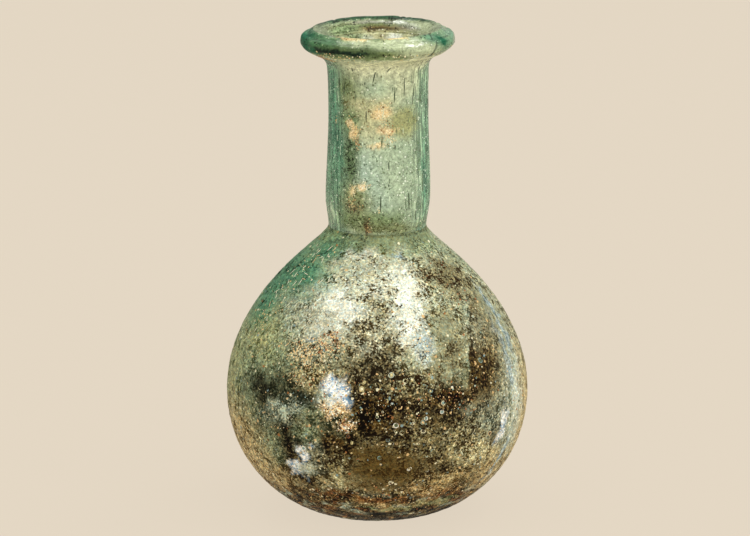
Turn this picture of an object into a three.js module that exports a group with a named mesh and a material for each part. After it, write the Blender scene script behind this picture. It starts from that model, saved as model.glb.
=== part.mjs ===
// A small free-blown glass perfume flask: a round belly with a flattened foot, a tubular neck pinched in
// where it meets the shoulder, and a mouth whose rim is folded out, up and in to a thick roll with a
// raised lip. The flask is one piece of glass, hollow and open at the mouth.
// Millimetres, +Z up, origin at the centre of the foot, on the surface that the flask stands on.

import * as THREE from "three";

// Driving dimensions.
const BELLY = { radius: 31, height: 25.6 };
const FOOT = { radius: 9, kickRadius: 5, kickHeight: 0.4 };
const SHOULDER = { radius: 11.7, height: 57.7 };
const PINCH = { radius: 10, height: 60 };
const SWELL = { radius: 10.7, height: 66.6 };
const WAIST = { radius: 10.2, height: 83.6 };
const FLARE = { radius: 10.6, height: 94 };
const UNDERSIDE = { radius: 13.1, height: 96 };
const ROLL = { radius: 15.8, height: 98.4 };
const CROWN = { radius: 15, height: 100 };
const LIP = { radius: 13, height: 101.1 };
const THROAT = { radius: 9.8, height: 98.1 };
const WALL = { belly: 1.5, shoulder: 1.8, neck: 1.95, foot: 2 };

// Hand work: the neck leans a little off the axis, and the rim is tilted.
const NECK_LEAN = 0.25;
const RIM_TILT_DEG = 0.8;

const SEGMENTS = 40;

// A point of the outline, moved out and up from one of the sizes above.
const from = (place, out = 0, up = 0) => new THREE.Vector2(place.radius + out, place.height + up);

// Points of one curved stretch of the outline, without its last point, which the next stretch starts with.
function stretch(steps, start, leave, arrive, end) {
  return new THREE.CubicBezierCurve(start, leave, arrive, end).getPoints(steps).slice(0, -1);
}

// The underside is pushed up a little at its middle, so that the foot is a flat ring.
function footAndBelly() {
  const middle = { radius: 0, height: FOOT.kickHeight };
  const kick = { radius: FOOT.kickRadius, height: 0 };
  const foot = { radius: FOOT.radius, height: 0 };
  return [
    ...stretch(2, from(middle), from(middle, 2), from(kick, -1), from(kick)),
    from(kick),
    ...stretch(8, from(foot), from(foot, 7.8), from(BELLY, 0, -17), from(BELLY)),
    ...stretch(8, from(BELLY), from(BELLY, 0, 17.8), from(SHOULDER, 2, -2.2), from(SHOULDER)),
  ];
}

function neck() {
  return [
    ...stretch(3, from(SHOULDER), from(SHOULDER, -1, 1.1), from(PINCH, 0, -0.6), from(PINCH)),
    ...stretch(3, from(PINCH), from(PINCH, 0, 1.5), from(SWELL, 0, -2.6), from(SWELL)),
    ...stretch(2, from(SWELL), from(SWELL, 0, 5), from(WAIST, 0, -5), from(WAIST)),
    ...stretch(2, from(WAIST), from(WAIST, 0, 4.5), from(FLARE, -0.4, -1), from(FLARE)),
  ];
}

function rim() {
  return [
    ...stretch(2, from(FLARE), from(FLARE, 0.7, 1.1), from(UNDERSIDE, -1.1, -0.4), from(UNDERSIDE)),
    ...stretch(3, from(UNDERSIDE), from(UNDERSIDE, 1.5, 0.6), from(ROLL, 0, -1.1), from(ROLL)),
    ...stretch(3, from(ROLL), from(ROLL, 0, 0.9), from(CROWN, 0.5), from(CROWN)),
    ...stretch(3, from(CROWN), from(CROWN, -1.2), from(LIP, 0.5), from(LIP)),
    ...stretch(3, from(LIP), from(LIP, -1), from(THROAT, 1, 1.7), from(THROAT)),
  ];
}

// The hollow, from the throat down to the middle of the floor.
function inside() {
  const boreTop = { radius: WAIST.radius - WALL.neck, height: FLARE.height - 2.5 };
  const swell = { radius: SWELL.radius - WALL.neck, height: SWELL.height };
  const pinch = { radius: PINCH.radius - WALL.neck, height: PINCH.height + 0.4 };
  const shoulder = {
    radius: SHOULDER.radius - 0.75 * WALL.shoulder,
    height: SHOULDER.height - 0.65 * WALL.shoulder,
  };
  const belly = { radius: BELLY.radius - WALL.belly, height: BELLY.height };
  const floor = { radius: FOOT.radius - 1, height: WALL.foot };
  const middle = { radius: 0, height: WALL.foot + FOOT.kickHeight };
  return [
    ...stretch(2, from(THROAT), from(THROAT, -0.6, -1), from(boreTop, 0, 2.5), from(boreTop)),
    ...stretch(3, from(boreTop), from(boreTop, 0, -7.5), from(swell, 0, 6.5), from(swell)),
    ...stretch(2, from(swell), from(swell, 0, -2.4), from(pinch, 0, 1.6), from(pinch)),
    ...stretch(3, from(pinch), from(pinch, 0, -1.4), from(shoulder, -1.1, 1.2), from(shoulder)),
    ...stretch(7, from(shoulder), from(shoulder, 1.9, -2.1), from(belly, 0, 16.8), from(belly)),
    ...stretch(7, from(belly), from(belly, 0, -16.2), from(floor, 8), from(floor)),
    from(floor),
    from(middle),
  ];
}

// Leans the neck and tilts the rim, as hot glass sets. Nothing below the shoulder moves.
function setByHand(geometry) {
  const place = geometry.getAttribute("position");
  const neckLength = LIP.height - SHOULDER.height;
  const tilt = Math.tan(THREE.MathUtils.degToRad(RIM_TILT_DEG));
  for (let i = 0; i < place.count; i++) {
    const height = place.getZ(i);
    const alongNeck = THREE.MathUtils.clamp((height - SHOULDER.height) / neckLength, 0, 1);
    const across = place.getX(i) + NECK_LEAN * Math.sin(Math.PI * alongNeck);
    place.setX(i, across);
    place.setZ(i, height + across * tilt * alongNeck ** 3);
  }
  geometry.computeVertexNormals();
  return geometry;
}

function glassFlask() {
  const outline = [...footAndBelly(), ...neck(), ...rim(), ...inside()];
  const geometry = new THREE.LatheGeometry(outline, SEGMENTS).rotateX(Math.PI / 2);
  const glass = new THREE.MeshStandardMaterial({ color: 0x93a37c, roughness: 0.25, metalness: 0 });
  glass.transparent = true;
  glass.opacity = 0.6;
  const flask = new THREE.Mesh(setByHand(geometry), glass);
  flask.name = "glass_flask";
  return flask;
}

const part = new THREE.Group();
part.add(glassFlask());

export default part;
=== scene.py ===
"""A weathered glass perfume flask, laid out as an add-on: clear glass, a silvery and brown weathering
crust over the belly, films of haze and soil on the neck, the rim and the inside, burst and drawn-out
bubbles, and crumbs of soil. Highlights on the belly and the rim, and some shade on the rim, are painted."""

import math

import bpy
import numpy as np
from bpy.props import FloatProperty, FloatVectorProperty, IntProperty, PointerProperty
from bpy.types import Operator, Panel, PropertyGroup
from mathutils import Matrix, Vector, noise


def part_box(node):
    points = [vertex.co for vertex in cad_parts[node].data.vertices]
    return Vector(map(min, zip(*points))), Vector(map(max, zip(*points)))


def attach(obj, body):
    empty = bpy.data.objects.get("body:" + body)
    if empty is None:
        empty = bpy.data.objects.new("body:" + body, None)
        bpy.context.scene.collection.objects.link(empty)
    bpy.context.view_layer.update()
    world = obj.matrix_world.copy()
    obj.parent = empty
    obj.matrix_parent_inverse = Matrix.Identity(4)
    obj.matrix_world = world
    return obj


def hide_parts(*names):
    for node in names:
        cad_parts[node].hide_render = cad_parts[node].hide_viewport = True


bl_info = {
    "name": "Weathered Glass Flask",
    "version": (1, 0, 0),
    "blender": (4, 5, 0),
    "location": "View3D > Sidebar > Flask",
    "description": "Makes a blown glass perfume flask and ages it with crust, bubbles and soil",
    "category": "Add Mesh",
}

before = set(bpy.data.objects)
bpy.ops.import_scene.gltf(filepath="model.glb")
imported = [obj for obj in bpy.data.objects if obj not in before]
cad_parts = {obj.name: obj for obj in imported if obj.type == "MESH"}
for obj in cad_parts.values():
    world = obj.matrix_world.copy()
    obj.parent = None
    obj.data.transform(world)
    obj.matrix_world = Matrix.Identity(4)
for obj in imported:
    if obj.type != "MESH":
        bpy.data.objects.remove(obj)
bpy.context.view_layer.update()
NODE = "glass_flask"
BODY = "root"

MM = 0.001
FLASK_LOW, FLASK_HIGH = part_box(NODE)
FLASK_HEIGHT = (FLASK_HIGH[2] - FLASK_LOW[2]) / MM
BELLY_RADIUS = (FLASK_HIGH[0] - FLASK_LOW[0]) / 2 / MM

# The outline's sizes, as (radius, height) in millimetres.
BELLY = (BELLY_RADIUS, 25.6)
FOOT_RADIUS, KICK_RADIUS, KICK_HEIGHT = 9.0, 5.0, 0.4
SHOULDER = (11.7, 57.7)
PINCH = (10.0, 60.0)
SWELL = (10.7, 66.6)
WAIST = (10.2, 83.6)
FLARE = (10.6, 94.0)
UNDERSIDE = (13.1, 96.0)
ROLL = (15.8, 98.4)
CROWN = (15.0, 100.0)
LIP = (13.0, 101.1)
THROAT = (9.8, 98.1)
BELLY_WALL, SHOULDER_WALL, NECK_WALL, FOOT_WALL = 1.5, 1.8, 1.95, 2.0
NECK_LEAN = 0.25
RIM_TILT = math.radians(0.8)


# ---------------------------------------------------------------- outline and turning


def beside(place, out=0.0, up=0.0):
    """A point moved out and up from a (radius, height)."""
    return (place[0] + out, place[1] + up)


def stretch(start, leave, arrive, end, spacing):
    """Points of one curved stretch, about spacing apart, without the last one."""
    ends = [np.array(p, dtype=float) for p in (start, leave, arrive, end)]
    length = sum(np.linalg.norm(b - a) for a, b in zip(ends, ends[1:]))
    t = np.linspace(0, 1, max(2, round(length / spacing)), endpoint=False)[:, None]
    return (
        (1 - t) ** 3 * ends[0]
        + 3 * (1 - t) ** 2 * t * ends[1]
        + 3 * (1 - t) * t**2 * ends[2]
        + t**3 * ends[3]
    )


def curve(spacing, *points):
    """Joined stretches. Every third point lies on the curve, and those between give its direction."""
    return np.vstack([stretch(*points[i : i + 4], spacing) for i in range(0, len(points) - 1, 3)])


def belly_outline(spacing):
    middle, kick, foot = (0.0, KICK_HEIGHT), (KICK_RADIUS, 0.0), (FOOT_RADIUS, 0.0)
    underneath = (middle, beside(middle, 2), beside(kick, -1), kick, beside(kick, 1), beside(foot, -1))
    side = (foot, beside(foot, 7.8), beside(BELLY, 0, -17), BELLY, beside(BELLY, 0, 17.8))
    return curve(spacing, *underneath, *side, beside(SHOULDER, 2, -2.2), SHOULDER)


def neck_outline(spacing):
    crease = (SHOULDER, beside(SHOULDER, -1, 1.1), beside(PINCH, 0, -0.6), PINCH, beside(PINCH, 0, 1.5))
    tube = (beside(SWELL, 0, -2.6), SWELL, beside(SWELL, 0, 5), beside(WAIST, 0, -5), WAIST)
    return curve(spacing, *crease, *tube, beside(WAIST, 0, 4.5), beside(FLARE, -0.4, -0.8), FLARE)


def rim_outline(spacing):
    flare = (FLARE, beside(FLARE, 0.6, 1.2), beside(UNDERSIDE, -1.1, -0.44))
    roll = (UNDERSIDE, beside(UNDERSIDE, 1.5, 0.6), beside(ROLL, 0, -1.1), ROLL, beside(ROLL, 0, 0.9))
    lip = (beside(CROWN, 0.5), CROWN, beside(CROWN, -1.2), beside(LIP, 0.5), LIP, beside(LIP, -1))
    return curve(spacing, *flare, *roll, *lip, beside(THROAT, 1, 1.7), THROAT)


def hollow_outline(spacing):
    """The inside, from the throat down to the middle of the floor."""
    bore_top = (WAIST[0] - NECK_WALL, FLARE[1] - 2.5)
    swell = (SWELL[0] - NECK_WALL, SWELL[1])
    pinch = (PINCH[0] - NECK_WALL, PINCH[1] + 0.4)
    shoulder = (SHOULDER[0] - 0.75 * SHOULDER_WALL, SHOULDER[1] - 0.65 * SHOULDER_WALL)
    belly = (BELLY[0] - BELLY_WALL, BELLY[1])
    floor = (FOOT_RADIUS - 1, FOOT_WALL)
    middle = (0.0, FOOT_WALL + KICK_HEIGHT)
    bore = (THROAT, beside(THROAT, -0.6, -1), beside(bore_top, 0, 2.5), bore_top, beside(bore_top, 0, -7.5))
    tube = (beside(swell, 0, 6.5), swell, beside(swell, 0, -2.4), beside(pinch, 0, 1.6), pinch)
    dome = (beside(pinch, 0, -1.4), beside(shoulder, -1.1, 1.2), shoulder, beside(shoulder, 1.9, -2.1))
    bowl = (beside(belly, 0, 16.8), belly, beside(belly, 0, -16.2), beside(floor, 8), floor)
    base = (beside(floor, -2.5), beside(middle, 2.5), middle)
    return np.vstack([curve(spacing, *bore, *tube, *dome, *bowl, *base), [middle]])


def outward(outline):
    """Unit normals of an outline, on the right of its direction of travel."""
    along = np.gradient(outline, axis=0)
    along /= np.maximum(np.linalg.norm(along, axis=1, keepdims=True), 1e-9)
    return np.column_stack([along[:, 1], -along[:, 0]])


def set_off(outline, distance):
    """An outline moved along its normals, with its ends kept on the axis."""
    moved = outline + outward(outline) * np.reshape(distance, (-1, 1))
    moved[:, 0] = np.maximum(moved[:, 0], 0)
    moved[outline[:, 0] < 1e-6, 0] = 0
    return moved


def grow(value, start, end, most=1.0):
    """0 at start and before it, growing to 1 at end, or held at a lower most."""
    return np.clip((value - start) / (end - start), 0, most)


def set_by_hand(points):
    """Leans the neck and tilts the rim. Nothing below the shoulder moves."""
    along = grow(points[:, 2], SHOULDER[1], LIP[1])
    moved = points.copy()
    moved[:, 0] += NECK_LEAN * np.sin(math.pi * along)
    moved[:, 2] += moved[:, 0] * math.tan(RIM_TILT) * along**3
    return moved


def steps_around(count, front_share):
    """Angles around the axis. front_share of them are on the half that faces -Y."""
    front = round(count * front_share)
    right_to_back = np.linspace(0, math.pi, count - front, endpoint=False)
    left_to_front = np.linspace(math.pi, 2 * math.pi, front, endpoint=False)
    return np.concatenate([right_to_back, left_to_front])


def spun(pairs, angles):
    """Turns (radius, height) pairs around the axis, one row of points for each pair."""
    radius, height = pairs[:, :1], pairs[:, 1:]
    turned = (radius * np.cos(angles), radius * np.sin(angles), height * np.ones_like(angles))
    return np.stack(turned, axis=-1).reshape(-1, 3)


class Turned:
    """A surface turned from an outline that starts and ends on the axis, or from a closed ring."""

    def __init__(self, outline, angles, ring=False):
        self.turns, self.ring = len(angles), ring
        if ring:
            rows, facing = outline, outward(np.vstack([outline[-1:], outline, outline[:1]]))[1:-1]
        else:
            normal = outward(outline)
            rows, facing = outline[1:-1], normal[1:-1]
        self.rows = len(rows)
        self.points, self.normals = spun(rows, angles), spun(facing, angles)
        if not ring:
            self.points = np.vstack([self.points, [[0, 0, outline[k, 1]] for k in (0, -1)]])
            self.normals = np.vstack([self.normals, [[0, 0, normal[k, 1]] for k in (0, -1)]])

    def faces(self):
        here = np.arange(self.turns)
        after = np.roll(here, -1)
        faces = []
        for row in range(self.rows if self.ring else self.rows - 1):
            low, high = row * self.turns, (row + 1) % self.rows * self.turns
            faces.extend(np.column_stack([low + here, low + after, high + after, high + here]).tolist())
        if not self.ring:
            top, first = (self.rows - 1) * self.turns, self.rows * self.turns
            faces.extend((first, b, a) for a, b in zip(here.tolist(), after.tolist()))
            faces.extend((top + a, top + b, first + 1) for a, b in zip(here.tolist(), after.tolist()))
        return faces

    def mesh(self, name):
        mesh = bpy.data.meshes.new(name)
        mesh.from_pydata((set_by_hand(self.points) * MM).tolist(), [], self.faces())
        mesh.shade_smooth()
        mesh.update()
        return mesh


def in_scene(name, data):
    made = bpy.data.objects.new(name, data)
    bpy.context.scene.collection.objects.link(made)
    return made


def add_piece(name, mesh, material):
    """A finished piece of the flask, riding on its one body."""
    mesh.materials.clear()
    mesh.materials.append(material)
    piece = in_scene(name, mesh)
    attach(piece, BODY)
    return piece


# ---------------------------------------------------------------- marks on the surface


def uneven(points, size, seed, octaves=3):
    """Smooth unevenness from about -1 to 1, with features of the given size."""
    at = points / size + np.array([seed * 17.3, seed * 5.1, seed * 9.7])
    return np.array([noise.fractal(Vector(p), 1.0, 2.0, octaves) for p in at.tolist()])


def drifts(points, size, seeds, octaves):
    """Unevenness in all three directions, one seed for each."""
    return np.column_stack([uneven(points, size, seed, octaves) for seed in seeds])


def patchy(field, gain, less=0.0):
    """1 in patches where an uneven field is high, 0 between them."""
    return np.clip(field * gain - less, 0, 1)


def blend(values, row, mask):
    """Lays one row of values over the values of all points, as far as the mask says."""
    mask = np.clip(mask, 0, 1)[:, None]
    return values * (1 - mask) + row * mask


def degrees_round(points):
    """Angles around the axis from the front, + to the right."""
    return np.degrees(np.arctan2(points[:, 0], -points[:, 1]))


def reach(points):
    """Distances from the axis."""
    return np.hypot(points[:, 0], points[:, 1])


# Outlines that marks and grains are set on: the side of the belly, and the neck with the flare.
SIDE = belly_outline(0.5)[40:]
UPPER = np.vstack([neck_outline(0.3), rim_outline(0.2)])
UPPER = UPPER[: int(np.argmax(UPPER[:, 0]))]


def surface_place(outline, angle, height):
    """A point of the surface, its normal, and the directions to the right and down on the surface."""
    out, up = (np.interp(height, outline[:, 1], column) for column in outward(outline).T)
    radius = np.interp(height, outline[:, 1], outline[:, 0])
    side, front = math.sin(math.radians(angle)), -math.cos(math.radians(angle))
    normal = np.array([out * side, out * front, up])
    right = np.array([-front, side, 0])
    return np.array([radius * side, radius * front, height]), normal, right, np.cross(right, normal)


def oval(points, angle, height, across, along, lean=0.0, sharpness=1.0):
    """1 inside an oval on the belly's surface, 0 outside. across and along are half sizes."""
    centre, normal, right, down = surface_place(SIDE, angle, height)
    turn = math.radians(lean)
    width_axis = right * math.cos(turn) + down * math.sin(turn)
    height_axis = down * math.cos(turn) - right * math.sin(turn)
    away = points - centre
    distance = np.sqrt(
        (away @ width_axis / across) ** 2
        + (away @ height_axis / along) ** 2
        + (away @ normal / max(across, along)) ** 2
    )
    return np.clip(0.5 + (1 - distance) * sharpness, 0, 1)


def srgb(red, green, blue):
    """A colour given on the usual 0 to 255 scale, as linear light."""
    return tuple((c / 255) ** 2.2 for c in (red, green, blue))


def look_row(look):
    """The three colours of a look as linear light, and then its other numbers."""
    body, pit, flake, *shares = look
    return np.array([*srgb(*body), *srgb(*pit), *srgb(*flake), *shares])


def store(mesh, name, values):
    """Keeps one number or one colour for each point of a mesh."""
    if values.ndim == 1:
        mesh.attributes.new(name, "FLOAT", "POINT").data.foreach_set("value", values.astype(np.float32))
        return
    colours = np.column_stack([values, np.ones(len(values))]).astype(np.float32)
    mesh.attributes.new(name, "FLOAT_COLOR", "POINT").data.foreach_set("color", colours.ravel())


# ---------------------------------------------------------------- materials


class Value:
    """A number or colour that nodes work out. Plain arithmetic on it adds the nodes that do the sum."""

    def __init__(self, shader, socket):
        self.shader, self.socket = shader, socket

    def __add__(self, other):
        return self.shader.math("ADD", self, other)

    def __sub__(self, other):
        return self.shader.math("SUBTRACT", self, other)

    def __rsub__(self, other):
        return self.shader.math("SUBTRACT", other, self)

    def __mul__(self, other):
        return self.shader.math("MULTIPLY", self, other)


class Shader:
    """A material and short ways to add nodes to it. Sizes are in millimetres."""

    def __init__(self, name):
        self.material = bpy.data.materials.new(name)
        self.material.use_nodes = True
        self.tree = self.material.node_tree
        self.tree.nodes.clear()
        self.output = self.tree.nodes.new("ShaderNodeOutputMaterial")
        self.surface = self.tree.nodes.new("ShaderNodeBsdfPrincipled")
        self.tree.links.new(self.surface.outputs[0], self.output.inputs["Surface"])

    def fill(self, socket, value):
        if isinstance(value, Value):
            self.tree.links.new(value.socket, socket)
        else:
            socket.default_value = value

    def add(self, kind, settings=None, **inputs):
        node = self.tree.nodes.new("ShaderNode" + kind)
        for key, value in (settings or {}).items():
            setattr(node, key, value)
        for key, value in inputs.items():
            self.fill(node.inputs[key.replace("_", " ")], value)
        return node

    def value(self, kind, output=0, settings=None, **inputs):
        """Adds a node and takes one of its outputs."""
        return Value(self, self.add(kind, settings, **inputs).outputs[output])

    def sum(self, kind, operation, a, b):
        node = self.add(kind, {"operation": operation})
        self.fill(node.inputs[0], a)
        self.fill(node.inputs[1], b)
        return Value(self, node.outputs[0])

    def math(self, operation, a, b):
        return self.sum("Math", operation, a, b)

    def set(self, **inputs):
        for key, value in inputs.items():
            self.fill(self.surface.inputs[key.replace("_", " ")], value)

    def place(self):
        return self.value("TexCoord", "Object")

    def attribute(self, name, output="Color"):
        return self.value("Attribute", output, {"attribute_name": name})

    def parts(self, colour):
        """The three numbers that a colour is made of."""
        return [Value(self, part) for part in self.add("SeparateColor", Color=colour).outputs]

    def noise(self, size, detail=3.0, roughness=0.6, stretch_by=(1, 1, 1)):
        """Noise from 0 to 1 with features of the given size."""
        mapped = self.value("Mapping", Vector=self.place(), Scale=stretch_by)
        scale = 1 / (size * MM)
        return self.value("TexNoise", "Fac", Vector=mapped, Scale=scale, Detail=detail, Roughness=roughness)

    def wobbled(self, size, amount):
        """Places shifted here and there, so that what is drawn on them has uneven borders."""
        shift = self.value("TexNoise", "Color", Vector=self.place(), Scale=1 / (size * MM), Detail=2.0)
        centred = self.sum("VectorMath", "SUBTRACT", shift, (0.5, 0.5, 0.5))
        scaled = self.sum("VectorMath", "MULTIPLY", centred, (2 * amount * MM,) * 3)
        return self.sum("VectorMath", "ADD", self.place(), scaled)

    def cells(self, size, output="Color", place=None):
        """One cell for each grain of the given size."""
        return self.value("TexVoronoi", output, Vector=place or self.place(), Scale=1 / (size * MM))

    def granular(self, size, low, high):
        """A chance number from low to high for each small grain of the surface."""
        return self.ramp(self.parts(self.cells(size))[0], 0.0, 1.0, low, high)

    def dots(self, share, size):
        """Small uneven dots, and a chance number for each. share is how many of the cells hold a dot."""
        place = self.wobbled(size * 0.6, size * 0.35)
        pick = self.parts(self.cells(size, "Color", place))
        dot_radius = self.ramp(pick[2], 0.0, 1.0, 0.22, 0.55)
        inside = self.ramp(dot_radius - self.cells(size, "Distance", place), -0.03, 0.06)
        return inside * self.math("GREATER_THAN", pick[0] + share, 0.985), pick[1]

    def ramp(self, value, low, high, to_low=0.0, to_high=1.0):
        """Brings the range from low to high to the range from to_low to to_high."""
        node = self.add("MapRange", {"clamp": True, "interpolation_type": "SMOOTHSTEP"}, Value=value)
        for key, number in (("From Min", low), ("From Max", high), ("To Min", to_low), ("To Max", to_high)):
            self.fill(node.inputs[key], number)
        return Value(self, node.outputs["Result"])

    def over(self, level, share, rare, common):
        """1 where a level of about 0 to 1 stands over a mark that sinks from rare to common."""
        return self.ramp(level - self.ramp(share, 0, 1, rare, common), -0.02, 0.035)

    def mix(self, factor, a, b, blend_type="MIX"):
        """Mixes two colours."""
        node = self.add("Mix", {"data_type": "RGBA", "blend_type": blend_type, "clamp_factor": True})
        for socket, value in ((node.inputs["Factor"], factor), (node.inputs[6], a), (node.inputs[7], b)):
            self.fill(socket, (*value, 1.0) if isinstance(value, tuple) else value)
        return Value(self, node.outputs[2])

    def times(self, colour, tint, factor=1.0):
        """A colour multiplied by another one."""
        return self.mix(factor, colour, tint, "MULTIPLY")

    def grey(self, value):
        return self.value("CombineColor", Red=value, Green=value, Blue=value)

    def bump(self, height, distance, **inputs):
        return self.value("Bump", "Normal", Height=height, Distance=distance * MM, **inputs)


def aqua_glass(settings):
    """Clear glass with the blue-green of iron in it, dulled and finely pitted on its surface."""
    shader = Shader("aqua_glass")
    dull = shader.noise(2.5, detail=4)
    waves = shader.bump(shader.noise(4.0, detail=2, stretch_by=(1, 1, 0.35)), 0.25)
    shader.set(
        Base_Color=shader.mix(shader.ramp(dull, 0.35, 0.7), (0.97, 1.0, 0.97), (0.9, 0.95, 0.86)),
        Roughness=shader.ramp(dull, 0.3, 0.75, 0.04, 0.2),
        Transmission_Weight=1.0,
        IOR=1.52,
        Normal=shader.bump(shader.noise(0.35, detail=2), 0.02, Normal=waves),
    )
    tint = shader.value("VolumeAbsorption", Density=settings.density, Color=(*settings.passes, 1.0))
    shader.fill(shader.output.inputs["Volume"], tint)
    return shader.material


WARM_TINT, COOL_TINT = (2.2, 1.15, 0.2), (0.3, 1.05, 2.0)

# Specks of soil: the chance number from which each colour is taken.
SPECKS = ((0.0, (214, 176, 122)), (0.34, (156, 104, 62)), (0.5, (232, 222, 186)), (0.8, (134, 156, 156)))


def speckled(shader, colour, share, size):
    """Scatters specks of tan, rust, cream and blue-grey."""
    inside, chance = shader.dots(share, size)
    kinds = shader.add("ValToRGB", Fac=chance)
    kinds.color_ramp.interpolation = "CONSTANT"
    stops = kinds.color_ramp.elements
    while len(stops) < len(SPECKS):
        stops.new(1.0)
    for stop, (at, tint) in zip(stops, SPECKS):
        stop.position, stop.color = at, (*srgb(*tint), 1)
    return shader.mix(inside, colour, Value(shader, kinds.outputs[0]))


def crust_material():
    """A body colour with darker pits, lighter flakes and specks of soil, in grains of 0.3 to 2 mm."""
    shader = Shader("weathering_crust")
    body, pit, flake = (shader.attribute(name) for name in ("body", "pit", "flake"))
    pits, flakes, specks = shader.parts(shader.attribute("shares"))
    sheen, streaks, cover = shader.parts(shader.attribute("finish"))
    drawn = shader.noise(0.7, stretch_by=(1, 1, 0.1))
    grain = shader.noise(0.42, detail=4, roughness=0.7) * (1 - streaks) + drawn * streaks
    clump = shader.noise(2.3, roughness=0.55)
    far = shader.noise(0.62, detail=4, roughness=0.7)
    level = grain * 0.4 + shader.granular(0.35, 0.3, 0.7) * 0.22 + clump * 0.38
    pitted = shader.ramp(shader.ramp(pits, 0, 1, 0.36, 0.62) - level, -0.02, 0.02)
    high = grain * 0.25 + far * 0.55 + shader.granular(0.34, 0.3, 0.7) * 0.2
    flaked = shader.over(high, flakes, 0.64, 0.4)
    shade = shader.granular(0.31, 0.5, 1.5) * shader.granular(0.8, 0.78, 1.22)
    lively = 1 - shader.attribute("calm", "Fac")
    broad = shader.grey(shader.ramp(shader.noise(1.7), 0.3, 0.7, 0.84, 1.16))
    colour = shader.mix(flaked * shader.ramp(lively, 0.0, 1.0, 0.4, 1.0), body, flake)
    colour = shader.times(shader.times(colour, shader.grey(shade), lively), broad)
    colour = shader.mix(pitted, colour, pit)
    coolness = shader.ramp(shader.parts(shader.cells(0.33))[1], 0.3, 0.7)
    colour = shader.mix(0.1, colour, shader.times(colour, shader.mix(coolness, WARM_TINT, COOL_TINT)))
    flat = 1 - pitted
    shader.set(
        Base_Color=speckled(shader, colour, specks, 0.62),
        Metallic=sheen * flat,
        Roughness=shader.ramp(far + pitted * 0.3, 0.3, 0.8, 0.34, 0.66),
        Alpha=shader.ramp(cover + shader.ramp(level, 0.3, 0.7, -0.35, 0.35), 0.25, 0.6),
        Normal=shader.bump(flaked * 0.5 + shade * 0.4 + flat, 0.05),
        Specular_IOR_Level=0.06,
    )
    return shader.material


def film_material(name, size, shine):
    """A thin film of haze and soil in fine grains, with darker pits and brighter flakes."""
    shader = Shader(name)
    tone, pit, flake = (shader.attribute(key) for key in ("tone", "pit", "flake"))
    cover, pits, flakes = shader.parts(shader.attribute("finish"))
    gloss, drawn, rings = shader.parts(shader.attribute("touch"))
    upright = shader.noise(size * 1.6, stretch_by=(1, 1, 0.08))
    lined = upright * drawn + shader.noise(size * 1.3, stretch_by=(0.1, 0.1, 1)) * rings
    plain = 1 - (drawn + rings)
    grain = shader.noise(size, detail=4, roughness=0.7) * plain + lined
    clump = shader.noise(size * 3.5)
    level = grain * 0.42 + shader.granular(size * 0.8, 0.3, 0.7) * 0.26 + clump * 0.32
    pitted = shader.ramp(shader.ramp(pits, 0, 1, 0.36, 0.62) - level, -0.025, 0.03)
    far = shader.noise(size * 1.2, detail=4, roughness=0.7)
    high = far * 0.7 + shader.granular(size * 0.7, 0.3, 0.7) * 0.3
    flaked = shader.over(high, flakes, 0.66, 0.4)
    streaky = drawn * 0.5 + 1.0
    shade = shader.granular(0.36, 0.8, 1.2) * shader.ramp(grain, 0.3, 0.7, 0.78, 1.2)
    shade = shade * shader.ramp(upright, 0.35, 0.65, 2.0 - streaky, streaky)
    dark = shader.dots(pits * 0.5, 0.42)[0]
    light = shader.dots(flakes * 0.4, 0.38)[0]
    colour = shader.times(shader.mix(flaked, tone, flake), shader.grey(shade))
    colour = shader.mix(dark, shader.mix(pitted, colour, pit), shader.mix(0.5, pit, (0, 0, 0)))
    swing = shader.ramp(clump * plain + lined, 0.25, 0.75, -0.3, 0.3) * (1 - gloss)
    swing = swing * cover * (drawn * 0.8 + 1.0)
    marks = shader.math("MAXIMUM", pitted * 0.8, flaked * 0.85)
    marks = shader.math("MAXIMUM", marks, shader.math("MAXIMUM", dark, light) * 0.9)
    thick = shader.math("MAXIMUM", shader.math("MAXIMUM", cover + swing, marks), 0.0)
    shader.set(
        Base_Color=shader.mix(light, colour, flake),
        Roughness=shader.ramp(gloss, 0, 1, 0.6, 0.12),
        Alpha=shader.math("MINIMUM", thick, 1.0),
        Specular_IOR_Level=shine,
    )
    return shader.material


def grain_material(name, roughness):
    """Small grains, each with its own shade, and another shade at the heart of a bubble."""
    shader = Shader(name)
    shade = shader.mix(shader.attribute("heart", "Fac"), shader.attribute("shade"), shader.attribute("inner"))
    light_and_dark = shader.ramp(shader.noise(0.3, detail=2), 0.3, 0.7, 0.8, 1.2)
    shader.set(Base_Color=shader.times(shade, shader.grey(light_and_dark)), Roughness=roughness)
    return shader.material


# ---------------------------------------------------------------- settings


def length_setting(name, description, size):
    """A setting for a length, shown in the scene's unit."""
    return FloatProperty(name=name, description=description, default=size, unit="LENGTH", precision=5)


def spacing_setting(millimetres):
    return length_setting("Row spacing", "Between one row of points and the next", millimetres * MM)


def steps_setting(count):
    return IntProperty(name="Steps around", description="Points in each row", default=count, min=8)


def colour_setting(name, description, colour):
    return FloatVectorProperty(name=name, description=description, default=colour, subtype="COLOR")


class FlaskGlassSettings(PropertyGroup):
    spacing: spacing_setting(0.95)
    turns: steps_setting(300)
    density: FloatProperty(
        name="Tint density", description="How strongly the glass absorbs light", default=260.0, min=0
    )
    passes: colour_setting("Tint", "The light that the glass lets through", (0.06, 0.66, 0.46))


class FlaskCrustSettings(PropertyGroup):
    thickness: length_setting("Thickness", "Of the crust over the belly's glass", 0.3 * MM)
    spacing: spacing_setting(0.46)
    turns: steps_setting(384)


class FlaskFilmSettings(PropertyGroup):
    film: length_setting("Film", "Thickness of the soil inside", 0.06 * MM)
    spacing: spacing_setting(0.8)
    turns: steps_setting(220)


class FlaskGrainSettings(PropertyGroup):
    seed: IntProperty(name="Seed", description="Which chance pattern the bubbles and crumbs take", default=7)
    sunk: length_setting("Sunk", "How far a bubble sits below the surface", 0.1 * MM)


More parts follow.
